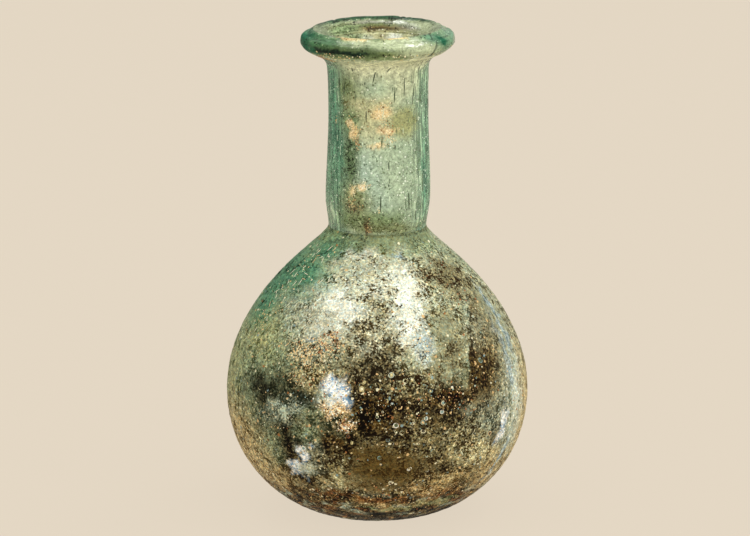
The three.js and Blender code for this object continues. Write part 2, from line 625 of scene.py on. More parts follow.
class FlaskStageSettings(PropertyGroup):
    elevation: FloatProperty(
        name="Elevation",
        description="Angle that the camera looks down at",
        subtype="ANGLE",
        default=math.radians(13),
    )
    distance: length_setting("Distance", "From the camera to the flask", 1.15)
    lens: FloatProperty(name="Lens", description="Focal length", unit="CAMERA", default=269.1)
    backdrop: colour_setting("Backdrop", "Colour of the floor", (0.767, 0.673, 0.546))


# ---------------------------------------------------------------- glass


# Room left over the glass of the neck and the rim, where the films lie.
FILM_GAP = 0.05

# Small chips in the edge of the rim: angle from the front and half width, in degrees.
RIM_CHIPS = ((152, 1.6), (158, 1.2), (112, 1.8), (-137, 1.4), (-12, 1.5))
# The most, in millimetres, that bumps, seam and chips together take off the rim.
MOST_WEAR = 0.34


def crust_depth(outline, thickness):
    """How deep the crust lies over the glass: all of it over the belly, only a film at the neck."""
    return FILM_GAP + (thickness - FILM_GAP) * grow(outline[:, 1], PINCH[1], PINCH[1] - 3)


def seam_of_fold(points):
    """1 on the line where the folded rim closes, which runs down over the front right of the roll."""
    line = 51.5 + 2.5 * (points[:, 2] - 99.6)
    return np.exp(-(((degrees_round(points) - line) / 1.4) ** 2)) * (points[:, 2] > UNDERSIDE[1] + 0.8)


def rim_wear(points):
    """How far, in millimetres, the rim stands back from its true turned shape."""
    height, out = points[:, 2], reach(points)
    on_rim = grow(height, FLARE[1] + 1, FLARE[1] + 3)
    outer = np.where(height > THROAT[1], grow(out, LIP[0] - 0.64, LIP[0] + 0.16), out > FLARE[0] - 0.1)
    bumps = 0.1 + 0.14 * uneven(points * np.array([1, 1, 0.6]), 3.2, 61)
    around = degrees_round(points)
    chips = sum(np.exp(-(((around - angle) / width) ** 2)) for angle, width in RIM_CHIPS)
    wear = bumps + 0.22 * seam_of_fold(points) + 0.25 * chips * grow(height, 99.5, 100.7)
    return np.clip(wear, 0, MOST_WEAR) * on_rim * outer


def build_glass(settings, thickness):
    spacing = settings.spacing / MM
    outside = np.vstack([belly_outline(spacing), neck_outline(spacing), rim_outline(spacing * 0.55)])
    outline = np.vstack([set_off(outside, -crust_depth(outside, thickness)), hollow_outline(spacing)])
    surface = Turned(outline, steps_around(settings.turns, 0.5))
    surface.points -= surface.normals * rim_wear(surface.points)[:, None]
    return add_piece("flask_glass", surface.mesh("flask_glass"), aqua_glass(settings))


# ---------------------------------------------------------------- crust


# How a part of the crust looks: body, pit and flake colours, then the shares of pits, flakes and
# specks, the sheen, and how much weaker than usual the grain is.
CRUST_LOOKS = {
    "pewter": ((158, 160, 128), (72, 66, 38), (212, 212, 184), 0.40, 0.42, 0.02, 0.22, 0.25),
    # The next two looks: a silvery film, laid lighter where it stands in for highlights, and the near-white
    # painted cores of those highlights.
    "silver_film_and_highlight": ((186, 187, 162), (70, 58, 30), (230, 230, 210), 0.35, 0.52, 0.01, 0.28, 0.45),
    "painted_highlight": ((210, 212, 192), (110, 100, 68), (236, 237, 222), 0.26, 0.68, 0.0, 0.34, 0.6),
    "olive": ((150, 154, 108), (82, 88, 50), (206, 204, 158), 0.38, 0.40, 0.03, 0.10, 0.2),
    "moss": ((131, 141, 108), (60, 70, 44), (192, 197, 158), 0.38, 0.38, 0.03, 0.08, 0),
    "sea_green": ((88, 132, 100), (56, 96, 72), (146, 172, 136), 0.34, 0.24, 0.01, 0.05, 0.5),
    "collar": ((122, 132, 98), (78, 78, 46), (164, 172, 134), 0.34, 0.26, 0.02, 0.0, 0.55),
    "fern": ((98, 122, 90), (60, 78, 54), (140, 158, 120), 0.34, 0.26, 0.02, 0.0, 0),
    "smooth_grey": ((142, 144, 114), (86, 80, 50), (184, 186, 158), 0.30, 0.34, 0.02, 0.10, 0.55),
    "brown_spots": ((124, 116, 82), (44, 28, 9), (196, 190, 152), 0.50, 0.34, 0.02, 0.10, 0),
    "veil": ((150, 155, 126), (74, 66, 38), (204, 204, 176), 0.36, 0.36, 0.02, 0.10, 0.45),
    "spruce": ((112, 138, 98), (62, 82, 52), (176, 184, 142), 0.36, 0.34, 0.03, 0.08, 0.35),
    "flap": ((112, 98, 62), (50, 34, 12), (176, 164, 122), 0.44, 0.36, 0.04, 0.04, 0),
    "umber": ((72, 55, 26), (16, 9, 2), (150, 134, 92), 0.54, 0.34, 0.05, 0.04, 0),
    "speckled": ((130, 121, 84), (40, 28, 9), (204, 196, 156), 0.48, 0.46, 0.03, 0.12, 0),
    "smooth_umber": ((92, 75, 40), (58, 43, 18), (130, 112, 68), 0.42, 0.28, 0.03, 0.0, 0.5),
    "night": ((44, 43, 28), (10, 10, 5), (128, 124, 90), 0.52, 0.32, 0.04, 0.05, 0),
    "grey_green": ((150, 160, 138), (66, 74, 56), (206, 212, 188), 0.40, 0.42, 0.02, 0.12, 0),
    "tan": ((118, 124, 100), (52, 44, 26), (214, 190, 142), 0.42, 0.47, 0.08, 0.08, 0),
    # A blue-white film, also used for a painted glint on the right edge.
    "ice_film_and_glint": ((238, 243, 240), (140, 180, 210), (254, 254, 252), 0.40, 0.62, 0.07, 0.12, 0.5),
    "bright_tan": ((206, 168, 114), (44, 28, 12), (252, 238, 208), 0.46, 0.54, 0.05, 0.05, 0),
    "rust": ((118, 78, 38), (40, 26, 9), (180, 140, 84), 0.48, 0.36, 0.06, 0.03, 0),
    "earth": ((112, 92, 52), (40, 30, 12), (182, 160, 108), 0.48, 0.40, 0.06, 0.03, 0),
    "cream": ((178, 168, 122), (80, 68, 36), (232, 226, 184), 0.38, 0.48, 0.03, 0.10, 0),
    "gold": ((182, 162, 112), (96, 76, 38), (232, 214, 166), 0.40, 0.44, 0.05, 0.08, 0),
    "ash": ((172, 178, 152), (104, 112, 90), (218, 224, 208), 0.34, 0.48, 0.02, 0.16, 0.4),
    "slate": ((146, 164, 164), (92, 106, 104), (200, 214, 220), 0.38, 0.46, 0.01, 0.15, 0.4),
}

# Where each look lies: angle from the front, height, half width, half height, lean, strength, sharpness.
CRUST_PATCHES = (
    ("moss", -64, 36, 12, 12, 0, 0.9, 1),
    ("olive", -60, 41, 7, 6, 20, 0.8, 1),
    ("grey_green", -38, 47, 9, 6, 30, 0.8, 1),
    ("pewter", -28, 44, 9, 5, 35, 0.7, 1),
    ("speckled", 6, 44, 9, 9, 0, 0.7, 1),
    ("umber", 2, 37, 7, 5, 0, 0.6, 1),
    ("umber", 5, 27, 20, 8, 0, 1.0, 1),
    ("umber", -12, 23, 12, 7, 0, 0.8, 1),
    ("speckled", -22, 35, 8, 4, 20, 0.7, 1),
    ("moss", -35, 30, 11, 4, 20, 0.7, 1),
    ("night", -49, 30.5, 5.6, 3.2, 0, 0.95, 0.8),
    ("night", -31, 32, 7, 2.8, 25, 0.85, 1),
    ("cream", -30, 34, 3, 1.7, 20, 0.8, 1),
    ("ash", -20.5, 31, 2.4, 2, 0, 0.8, 1),
    ("grey_green", -40, 26.8, 6, 2.6, -20, 1.0, 1.5),
    ("night", -35, 21.5, 5.5, 3, -25, 0.6, 1.5),
    ("grey_green", -26, 18.5, 3, 3.6, -15, 0.5, 1.5),
    ("moss", -48, 20, 4, 6, 0, 0.7, 1),
    ("night", -45.5, 24.6, 2.8, 3, 0, 0.5, 1),
    ("night", -37, 30, 2.4, 1.6, 0, 0.45, 1),
    ("moss", -64, 25, 5, 4, 0, 0.5, 1),
    ("moss", -41, 38, 4, 3, 0, 0.5, 1),
    ("night", -31.5, 29.4, 2.4, 1.4, 0, 0.45, 1),
    ("umber", -7, 33.6, 3.6, 1.8, 0, 0.6, 1),
    ("speckled", -2, 22, 4, 2, 0, 0.5, 1),
    ("smooth_umber", 0, 16, 10, 4.4, 0, 0.95, 1.5),
    ("speckled", 18, 24, 6, 6, 0, 0.5, 1),
    ("cream", -10, 11.5, 7, 2, 0, 0.5, 1),
    ("speckled", 28, 45, 6, 8, 0, 0.7, 1),
    ("smooth_grey", 31, 40, 4.4, 9, 0, 0.9, 1),
    ("brown_spots", 44, 50, 8, 5.5, 0, 0.9, 1),
    ("brown_spots", 28, 52, 5, 3.5, 0, 0.7, 1),
    ("grey_green", 56, 42, 4, 8, 0, 0.6, 1),
    ("umber", 33, 30.5, 6, 2.6, 0, 0.8, 1),
    ("grey_green", 45, 25.5, 5, 5, 0, 0.8, 1),
    ("umber", 19, 26.8, 3, 1.8, 0, 0.6, 1),
    ("cream", 42.5, 17, 6.4, 4, 20, 0.95, 1),
    ("speckled", 30, 20.5, 4, 2.4, 0, 0.7, 1),
    ("grey_green", 56, 35, 4, 3, 0, 0.7, 1),
    ("grey_green", 55, 28, 4, 3, 0, 0.6, 1),
    ("earth", 36, 12, 8, 3, 0, 0.8, 1),
    ("gold", 34, 12.5, 5, 1.6, 10, 0.7, 1),
    ("smooth_grey", 66, 42, 5, 14, 0, 0.9, 1),
    ("ash", 68, 24, 6, 14, 0, 1.0, 1),
    # A painted highlight along the right edge.
    ("painted_highlight", 70, 26, 3.2, 6, 4, 0.4, 1),
    ("gold", 80, 20, 5, 14, 0, 0.9, 1),
    ("gold", 60, 12, 6, 5, 0, 0.8, 1),
    ("olive", -80, 30, 6, 9, 0, 0.8, 1),
    ("gold", -70, 16, 9, 9, 0, 1.0, 1),
    ("gold", -50, 12, 6, 4, 0, 0.6, 1),
    ("cream", -54, 17, 5, 4, 0, 0.25, 1),
    ("moss", -46, 18.5, 2.6, 3, 0, 0.5, 1),
    ("cream", -17, 13.2, 3.4, 1.6, 0, 0.6, 1),
    # Painted highlights on the silvery film near the top of the shoulder, where the overhead light falls.
    ("silver_film_and_highlight", -6, 53.5, 9, 4, 0, 0.5, 1),
    ("silver_film_and_highlight", 0, 51, 4, 2.6, 0, 0.8, 1),
    ("silver_film_and_highlight", -17, 56.8, 4.6, 1.5, 0, 0.9, 1),
    ("silver_film_and_highlight", 10.6, 45, 2.6, 3.2, 0, 1.0, 1),
    ("pewter", 14.5, 38.2, 3, 2.4, 0, 1.0, 1),
    ("speckled", 15, 33.8, 5.4, 2.4, 0, 1.0, 1),
    ("brown_spots", 33.5, 38.6, 3.2, 3.2, 0, 0.7, 1),
    ("pewter", 36, 48.5, 5, 3, 0, 0.9, 1),
    ("brown_spots", 58, 51.2, 5.4, 4.4, 0, 0.9, 1),
    ("moss", 56, 57.2, 6, 1.8, 0, 0.9, 1),
    ("collar", 62, 58.4, 3, 1.2, 0, 0.9, 1),
    ("fern", -46, 58.6, 5, 1.8, 0, 0.8, 1),
    # Painted highlights: a long diagonal on the upper left and an upright strip right of the middle, each
    # with a near-white core.
    ("silver_film_and_highlight", -24, 44.5, 5, 3.6, -30, 0.9, 1),
    ("silver_film_and_highlight", -20, 47.5, 4.2, 9.5, -52, 1.0, 1),
    ("painted_highlight", -19, 48, 2.0, 7, -52, 0.8, 1),
    ("speckled", -8, 44, 3, 2.8, 0, 0.85, 1),
    ("silver_film_and_highlight", 17, 50, 3.8, 8.5, 4, 1.0, 1),
    ("painted_highlight", 17, 47.6, 2.2, 8, 4, 0.8, 1),
    ("painted_highlight", 14.8, 44.2, 2.0, 3.2, 4, 0.6, 1),
    ("silver_film_and_highlight", 20, 41, 2.2, 3.4, 6, 0.9, 1),
    ("tan", -31, 38.4, 5, 1.9, 20, 0.95, 1.5),
    ("tan", -22, 40, 4, 1.7, 12, 0.95, 1.5),
    ("rust", -19, 42, 2, 0.8, 40, 0.8, 2),
    ("slate", 21, 41, 1.6, 3.2, 4, 0.6, 1),
    ("slate", 20, 56.6, 1.2, 0.7, 0, 0.7, 1.5),
    ("slate", 64, 36, 1.0, 8, 4, 0.8, 1.5),
    ("slate", 72, 42, 0.9, 8, 4, 0.8, 1.5),
    ("slate", -30, 41, 1.6, 0.7, 30, 0.8, 2),
    ("ice_film_and_glint", -15.5, 33.0, 2.8, 2.0, 20, 1.0, 1.4),
    ("ice_film_and_glint", -14, 30.6, 2.2, 2.0, -20, 1.0, 1.4),
    ("bright_tan", -17.5, 28.5, 2.8, 1.8, 0, 1.0, 2),
    ("bright_tan", -11.5, 25.3, 1.8, 1.3, 0, 1.0, 2),
    ("ice_film_and_glint", -34, 14.8, 2.5, 1.8, 10, 1.0, 2),
    ("ice_film_and_glint", -29.4, 18.4, 1.2, 1.9, 20, 1.0, 2),
    ("ash", -30, 14.8, 2.8, 1.4, 0, 0.9, 1),
    ("moss", -28, 23, 3, 2, 0, 0.8, 1),
    ("speckled", -18.5, 17, 4.4, 2.8, 0, 0.8, 1),
    # A painted glint: a blue-white streak along the right edge.
    ("ice_film_and_glint", 56, 21.5, 1.0, 4.0, 14, 0.7, 1.5),
    ("slate", 60, 14.5, 0.9, 5, 20, 0.9, 1.5),
    ("rust", 26, 10, 6, 1.2, 10, 0.8, 1.5),
    ("umber", -18, 9.4, 5, 1.8, 0, 0.7, 1),
    ("gold", 22, 10.5, 6, 1.4, 0, 0.55, 1),
    ("gold", 2, 7, 5, 1.0, 0, 0.5, 1),
    ("umber", 30, 30.4, 4.4, 2.4, 0, 1.0, 1.2),
    ("speckled", 36, 22.6, 4, 2.4, 0, 0.8, 1),
    ("smooth_umber", 0, 12, 5, 1.6, 0, 0.8, 1),
    ("rust", 2, 8, 6, 1.0, 0, 0.9, 1.5),
    ("rust", -20, 9.5, 5, 1.1, 0, 0.7, 1.5),
    ("rust", 42, 8, 5, 1.0, 0, 0.7, 1.5),
    ("olive", 8, 5.5, 6, 0.8, 0, 0.7, 1.5),
    ("olive", 34, 6.5, 6, 1.0, 0, 0.7, 1.5),
)

# Where the crust is thin and the glass shows: angle, height, half width, half height and lean.
BARE_PATCHES = (
    (-62, 52, 9, 4.4, 0),
    (-72, 45, 4.6, 4.4, 0),
    (-84, 50, 8, 9, 0),
    (-53, 56, 4, 2.2, 0),
)

# How far to the right of the axis the upper layer of the crust ends and the flaked-off patch begins.
FLAP_EDGE = 18.7

# Dark places in the flaked-off patch: angle, height, half width and half height.
FLAP_SPOTS = ((43, 33.5, 5, 5.5), (40, 39, 1.6, 4), (46, 47.5, 3.6, 2.4))

# The share of the crust that is left where it runs out at the crease under the neck.
CREASE_COVER = 0.45

# Chance bands near the foot: look, size, seed, and what is taken off their unevenness before it shows.
LOW_BANDS = (("rust", 3.2, 11, 0.4), ("grey_green", 2.8, 19, 0.5), ("night", 2.6, 20, 0.4))


def crust_row(look):
    return look_row(CRUST_LOOKS[look])


def flaked_off(points):
    """Where the upper layer of the crust has come away, and how sharply its edge steps down."""
    from_edge = points[:, 0] - FLAP_EDGE - 0.35 * uneven(points, 2.2, 15)
    right_of_edge = grow(from_edge, -0.25, 0.25) * (points[:, 1] < 0)
    gone = right_of_edge * oval(points, 44.5, 39.5, 8.6, 13, 0, 1.2)
    return gone, gone * grow(from_edge, 5, 0)


def crust_marks(points):
    """Blends the looks of the crust over its points."""
    at = points + 1.7 * drifts(points, 2.6, (1, 2, 3), 4)
    tall, height = points[:, 2], at[:, 2]
    values = np.tile(crust_row("pewter"), (len(points), 1))

    def lay(look, mask):
        nonlocal values
        values = blend(values, crust_row(look), mask)

    # Chance patches all round, mostly seen from behind, and bands near the foot.
    mottled = uneven(points, 11, 7)
    behind = grow(points[:, 1], -4, 4)
    lay("speckled", grow(height, 38, 30))
    lay("umber", grow(height, 30, 21) * 0.85)
    lay("speckled", patchy(mottled, 2.2) * 0.5)
    lay("moss", patchy(-mottled, 1.8, 0.15) * 0.7)
    lay("silver_film_and_highlight", behind * patchy(uneven(points, 9, 9, 2), 3, 0.6) * grow(tall, 32, 42))
    lay("moss", behind * patchy(uneven(points, 8, 12), 2, 0.3))
    lay("umber", behind * np.minimum(patchy(uneven(points, 5, 13), 2, 0.6), 0.8))
    low = grow(height + 2.5 * uneven(points, 5, 18, 2), 14, 7)
    lay("earth", low * 0.9)
    flat_bands = points * np.array([1, 1, 2.2])
    for look, size, seed, less in LOW_BANDS:
        lay(look, low * patchy(uneven(flat_bands, size, seed), 3, less))

    # The shoulder, the collar under the neck and the green left side.
    lay("veil", grow(tall, 52, 57) * 0.8)
    in_front = grow(np.abs(degrees_round(at)), 54, 38)
    lay("collar", grow(height + 1.6 * in_front, 57.4, 58.8))
    side_on = at[:, 0] / np.maximum(reach(at), 1e-6)
    lay("spruce", grow(side_on, -0.62, -0.82) * grow(tall, 20, 34) * 0.7)

    for look, angle, middle, across, along, lean, strength, sharpness in CRUST_PATCHES:
        lay(look, oval(at, angle, middle, across, along, lean, sharpness) * strength)
    gone, step = flaked_off(points)
    lay("flap", gone)
    lay("grey_green", gone * oval(at, 50, 42, 4.4, 4) * 0.35)
    for spot in FLAP_SPOTS:
        lay("umber", gone * oval(at, *spot) * 0.9)
    lay("night", grow(tall, 5, 2) * patchy(uneven(points, 2.5, 17), 1, -0.75))

    bare = np.zeros(len(points))
    for patch in BARE_PATCHES:
        bare = np.maximum(bare, oval(at, *patch))
    lay("sea_green", bare)
    at_crease = CREASE_COVER + (1 - CREASE_COVER) * grow(tall, PINCH[1] + 0.5, PINCH[1] - 3.5)
    cover = np.minimum(1 - 0.48 * bare, at_crease)
    streaks = grow(np.abs(points[:, 0]) / np.maximum(reach(points), 1e-6), 0.8, 0.92)
    return values, np.column_stack([values[:, 12], streaks, cover]), step


def up_to_pinch(spacing):
    """The outline of the belly and the shoulder, up to the crease under the neck."""
    whole = neck_outline(spacing)
    return np.vstack([belly_outline(spacing), whole[whole[:, 1] < PINCH[1] - 0.05], [PINCH]])


def build_crust(settings):
    """A closed shell over the belly. Its relief only goes down from the outline, never out."""
    outside, back = up_to_pinch(settings.spacing / MM), up_to_pinch(2.0)
    under = set_off(back, 0.03 - 0.85 * crust_depth(back, settings.thickness / MM))[::-1]
    surface = Turned(np.vstack([outside, under]), steps_around(settings.turns, 0.65))
    points = surface.points
    values, finish, step = crust_marks(points)
    on_top = np.arange(len(points)) < (len(outside) - 1) * settings.turns
    relief = 0.07 * uneven(points, 1.1, 21) + 0.05 * uneven(points, 4, 22, 2) - 0.06
    sunk = np.maximum(np.minimum(relief, 0) - 0.08 * step, -0.2) * on_top
    surface.points += surface.normals * (sunk * grow(points[:, 2], PINCH[1] - 1, PINCH[1] - 5))[:, None]
    mesh = surface.mesh("weathering_crust")
    for column, name in enumerate(("body", "pit", "flake", "shares")):
        store(mesh, name, values[:, 3 * column : 3 * column + 3])
    store(mesh, "finish", finish)
    store(mesh, "calm", values[:, 13])
    return add_piece("weathering_crust", mesh, crust_material())


# ---------------------------------------------------------------- films


# How a part of a film looks: tone, pit and flake colours, cover, shares of pits and flakes, and gloss.
FILM_LOOKS = {
    "haze": ((200, 216, 182), (122, 140, 98), (232, 238, 218), 0.60, 0.20, 0.16, 0.0),
    "pale_haze": ((222, 226, 188), (180, 184, 138), (238, 240, 212), 0.80, 0.04, 0.04, 0.0),
    "cool_haze": ((190, 214, 192), (106, 132, 104), (232, 240, 228), 0.68, 0.20, 0.2, 0.0),
    "warm_haze": ((214, 210, 162), (152, 132, 76), (240, 228, 184), 0.66, 0.24, 0.2, 0.0),
    "sea": ((100, 156, 124), (50, 102, 80), (206, 222, 200), 0.54, 0.34, 0.16, 0.2),
    "thin_sea": ((136, 174, 140), (66, 112, 84), (214, 228, 208), 0.50, 0.30, 0.18, 0.2),
    "belly": ((128, 136, 92), (60, 60, 34), (190, 190, 150), 0.85, 0.3, 0.1, 0.0),
    "olive": ((182, 182, 126), (140, 136, 82), (206, 204, 154), 0.80, 0.12, 0.03, 0.0),
    "dark_speckle": ((116, 138, 96), (36, 46, 24), (176, 190, 150), 0.5, 0.52, 0.14, 0.0),
    "olive_speckle": ((160, 168, 118), (84, 86, 44), (206, 206, 160), 0.52, 0.44, 0.2, 0.0),
    "green_speckle": ((150, 170, 120), (88, 102, 58), (204, 214, 168), 0.56, 0.40, 0.2, 0.0),
    "brown_speckle": ((142, 142, 100), (84, 66, 34), (190, 176, 130), 0.5, 0.42, 0.2, 0.0),
    "brown": ((112, 92, 54), (56, 42, 18), (180, 152, 106), 0.6, 0.46, 0.2, 0.0),
    "tan": ((238, 208, 152), (176, 130, 76), (254, 236, 190), 0.92, 0.28, 0.5, 0.0),
    "rim": ((140, 156, 116), (86, 100, 62), (206, 214, 182), 0.78, 0.22, 0.14, 1.0),
    # A lighter tone painted where light falls: highlights along the roll and on a lit wall inside the mouth.
    "rim_painted_light": ((180, 188, 150), (126, 134, 92), (226, 229, 206), 0.86, 0.10, 0.12, 1.0),
    "rim_sea": ((104, 144, 110), (56, 94, 68), (190, 204, 176), 0.85, 0.26, 0.14, 0.8),
    # The deep teal of thick glass, with painted shade for the darker left end of the roll.
    "rim_teal_and_shade": ((1, 88, 60), (1, 54, 36), (70, 146, 110), 0.99, 0.18, 0.04, 0.1),
    "rim_dusk": ((74, 110, 74), (36, 60, 38), (150, 172, 132), 0.95, 0.32, 0.14, 0.6),
    "flare_cream": ((232, 235, 196), (200, 200, 154), (244, 244, 216), 0.90, 0.02, 0.03, 0.0),
    "rim_moss": ((78, 94, 58), (46, 56, 30), (140, 150, 108), 0.95, 0.32, 0.12, 0.6),
    # Painted shade low on the left front of the roll, and the dark line of the fold seam.
    "rim_shade_and_seam": ((1, 36, 20), (1, 8, 4), (90, 134, 90), 0.99, 0.34, 0.05, 0.3),
    "mouth": ((134, 144, 110), (72, 78, 46), (200, 204, 176), 0.85, 0.38, 0.16, 0.6),
    # A pale speckled band with a painted highlight, on the inner face of the lip.
    "pearl_and_highlight": ((192, 194, 176), (96, 94, 76), (242, 242, 236), 0.90, 0.40, 0.30, 0.6),
    "edge": ((50, 82, 54), (20, 36, 22), (160, 176, 142), 0.92, 0.42, 0.16, 0.6),
    "dark_line": ((112, 92, 50), (56, 40, 18), (184, 162, 112), 0.92, 0.42, 0.16, 0.3),
    "rust": ((180, 104, 56), (104, 54, 24), (220, 160, 110), 0.9, 0.3, 0.3, 0.0),
    "lip_tan": ((222, 196, 138), (164, 124, 70), (246, 226, 176), 0.92, 0.3, 0.4, 0.5),
    "lip_olive": ((112, 122, 78), (70, 74, 40), (176, 178, 128), 0.85, 0.34, 0.16, 0.8),
    "glare": ((244, 246, 232), (200, 204, 176), (250, 250, 244), 0.95, 0.1, 0.4, 0.8),
    "bore": ((188, 182, 134), (110, 92, 52), (240, 234, 204), 0.95, 0.34, 0.25, 0.2),
}

# Stains of the bore, seen through the mouth, and painted highlights on it: look, angle, height, half width,
# half height, sharpness.
BORE_STAINS_AND_HIGHLIGHTS = (
    ("bore", 180, 94, 30, 5, 2),
    ("glare", 157, 97.2, 1.6, 0.8, 1),
    ("glare", 203, 96.6, 2.4, 1.0, 1),
    ("green_speckle", 214, 97, 3, 1.6, 1),
)

# Stains inside the mouth, above the throat, and painted highlights there.
MOUTH_STAINS_AND_HIGHLIGHTS = (
    ("rim_painted_light", 120, 99.8, 7, 1.6, 1),
    ("dark_line", 196, 99.9, 8, 0.3, 1),
    ("pearl_and_highlight", 172, 100.0, 6, 0.24, 0.8),
    ("glare", 156, 100.1, 1.4, 0.3, 1),
    ("pearl_and_highlight", 146, 99.4, 3, 0.5, 1),
    ("lip_olive", 186, 99.5, 7, 0.45, 1),
    ("dark_line", 182, 98.95, 7.4, 0.4, 0.8),
    ("bore", 180, 98.2, 9, 0.4, 1),
    ("green_speckle", 222, 99.2, 3.6, 0.9, 0.8),
    ("edge", 182, 101.0, 15, 0.44, 2),
    ("lip_tan", -23, 100.95, 3.4, 0.4, 1.5),
    ("lip_tan", 16, 100.95, 2.4, 0.4, 1.5),
)

# Haze and soil on the outside of the neck.
NECK_STAINS = (
    ("pale_haze", -2, 91, 8, 4, 1),
    ("pale_haze", 8, 94, 10, 2.4, 1),
    ("flare_cream", 24, 95.4, 10, 1.5, 1),
    ("warm_haze", 2, 84, 5, 6, 1),
    ("cool_haze", -8, 70, 6, 7, 1),
    ("haze", 24, 74, 5, 9, 1),
    ("haze", 40, 78, 4, 14, 1),
    ("pale_haze", 30, 91, 3.5, 3, 1),
    ("sea", -72, 78, 5.4, 24, 1),
    ("sea", -52, 74, 1.6, 6, 1),
    ("thin_sea", -69, 66, 5, 9, 1),
    ("thin_sea", 76, 76, 3.4, 22, 1),
    ("sea", 62, 71, 0.8, 6, 0.7),
    ("green_speckle", -36, 89, 2.6, 3.6, 1),
    ("olive_speckle", -27, 87.8, 2.6, 3.6, 0.8),
    ("warm_haze", -16, 86, 4, 2.4, 1),
    ("green_speckle", -34, 83.4, 2.4, 2.4, 1),
    ("olive", 31, 83, 3.6, 3.2, 1.6),
    ("dark_speckle", -33, 75.6, 1.8, 6.6, 1),
    ("green_speckle", -12, 63, 9, 2, 1),
    ("olive_speckle", 20, 61.2, 9, 1.2, 1),
    ("haze", 46, 64.5, 2, 3, 1),
    ("haze", -64, 63, 2.4, 3, 0.8),
    ("haze", -4, 90.4, 3.4, 2, 0.8),
    ("flare_cream", 42, 94.4, 5, 1.2, 1),
    ("olive_speckle", -25, 67, 3.6, 3.6, 1),
    ("brown_speckle", -28, 65.6, 1.8, 1.1, 1),
    ("brown", -11, 61.4, 0.5, 1.8, 1),
    ("brown", -24, 66, 0.5, 0.4, 1),
    ("tan", 3, 85.2, 1.8, 1.4, 1),
    ("tan", 11, 81.6, 1.7, 0.8, 1),
    ("tan", 0, 78.6, 1.6, 0.35, 1),
    ("tan", -35, 82.8, 0.9, 0.6, 1),
    ("tan", -29, 81, 0.8, 1.3, 1),
    ("tan", -17, 70, 0.9, 0.5, 1),
    ("tan", -30, 69, 0.7, 0.7, 1),
)

# Stains on the outside of the rim, from the flare over the roll to the lip, with painted highlights along
# the roll and painted shade at its left end and low on its left front.
RIM_STAINS_HIGHLIGHTS_AND_SHADE = (
    ("lip_olive", 0, 98.0, 9, 0.9, 1),
    ("rim_painted_light", 38, 98.4, 5.4, 1.5, 1),
    ("rim_painted_light", 20, 100.1, 6, 0.8, 1),
    ("rim_painted_light", -22, 100.3, 5, 0.4, 1.5),
    ("lip_tan", -23, 101.0, 3.6, 0.4, 1.5),
    ("lip_tan", 16, 101.0, 2.6, 0.3, 1.5),
    ("glare", 30, 99.75, 2.0, 0.16, 1),
    ("rim_sea", 52, 100.4, 3, 0.9, 1),
    ("rim_sea", -90, 98.4, 10, 3.0, 1),
    # Painted shade at the left end of the roll, over the teal of its thick glass.
    ("rim_teal_and_shade", -70, 98.8, 11, 2.0, 1.6),
    ("rim_dusk", -50, 99.8, 4.4, 1.4, 1),
    ("rim_sea", 84, 98.6, 7, 2.4, 1),
    ("rim_teal_and_shade", 60, 99.4, 1.8, 0.8, 1),
    ("rim_moss", -22, 98.5, 7, 1.2, 1),
    ("rim_moss", -14, 97.8, 4, 0.9, 1),
    # Painted shade low on the left front of the roll.
    ("rim_shade_and_seam", -44, 98.5, 3.6, 0.45, 1.6),
    ("rim_shade_and_seam", -24, 98.3, 6, 0.45, 1.6),
    ("green_speckle", -34, 97.3, 3.4, 0.5, 1),
    ("green_speckle", 6, 97.2, 4, 0.5, 1),
    ("haze", 0, 95.4, 60, 1.6, 3),
    ("flare_cream", 30, 96.0, 13, 0.9, 1),
    ("edge", 180, 100.9, 17, 0.5, 1.2),
    ("rust", -54, 96.4, 0.9, 0.5, 1.5),
)

# How thick the haze lies around the neck: angle from the front, then a share of its full cover.
HAZE_AROUND = (
    (-180, 0.8),
    (-90, 0.35),
    (-60, 0.46),
    (-44, 0.7),
    (-30, 0.92),
    (-8, 0.95),
    (24, 0.75),
    (44, 0.52),
    (60, 0.44),
    (78, 0.4),
    (110, 0.6),
    (180, 0.8),
)

# How thick the films on the neck and the rim are, and how far from the wall the soil inside begins.
RING_FILM = 0.015
LINING_GAP = 0.04


def film_row(look):
    return look_row(FILM_LOOKS[look])


def wound_oval(points, angle, height, across, along, sharpness):
    """1 inside an oval wound on the neck, 0 outside it. across and along are half sizes."""
    turned = np.arctan2(points[:, 0], -points[:, 1]) - math.radians(angle)
    around = (turned + math.pi) % (2 * math.pi) - math.pi
    distance = np.hypot(around * reach(points) / across, (points[:, 2] - height) / along)
    return np.clip(0.5 + (1 - distance) * sharpness, 0, 1)


def lay_film_marks(points, seed, values, film_marks, where=1.0, ragged=1.0):
    """Lays haze, soil, and painted highlights and shade over a film's values, with uneven borders."""
    slow = drifts(points, 1.8, (seed, seed + 1, seed + 2), 4)
    quick = drifts(points, 0.7, (seed + 3, seed + 4, seed + 5), 2)
    at = points + ragged * (0.7 * slow + 0.35 * quick) * np.array([1, 1, 0.8])
    for look, *place in film_marks:
        values = blend(values, film_row(look), wound_oval(at, *place) * where)
    return values


def film_piece(name, surface, values, lines, size, shine):
    """Keeps the values of a film on its mesh. lines holds how far its grain is drawn out up and around."""
    mesh = surface.mesh(name)
    for column, key in enumerate(("tone", "pit", "flake", "finish")):
        store(mesh, key, values[:, 3 * column : 3 * column + 3])
    store(mesh, "touch", np.column_stack([values[:, 12], lines]))
    return add_piece(name, mesh, film_material(name, size, shine))


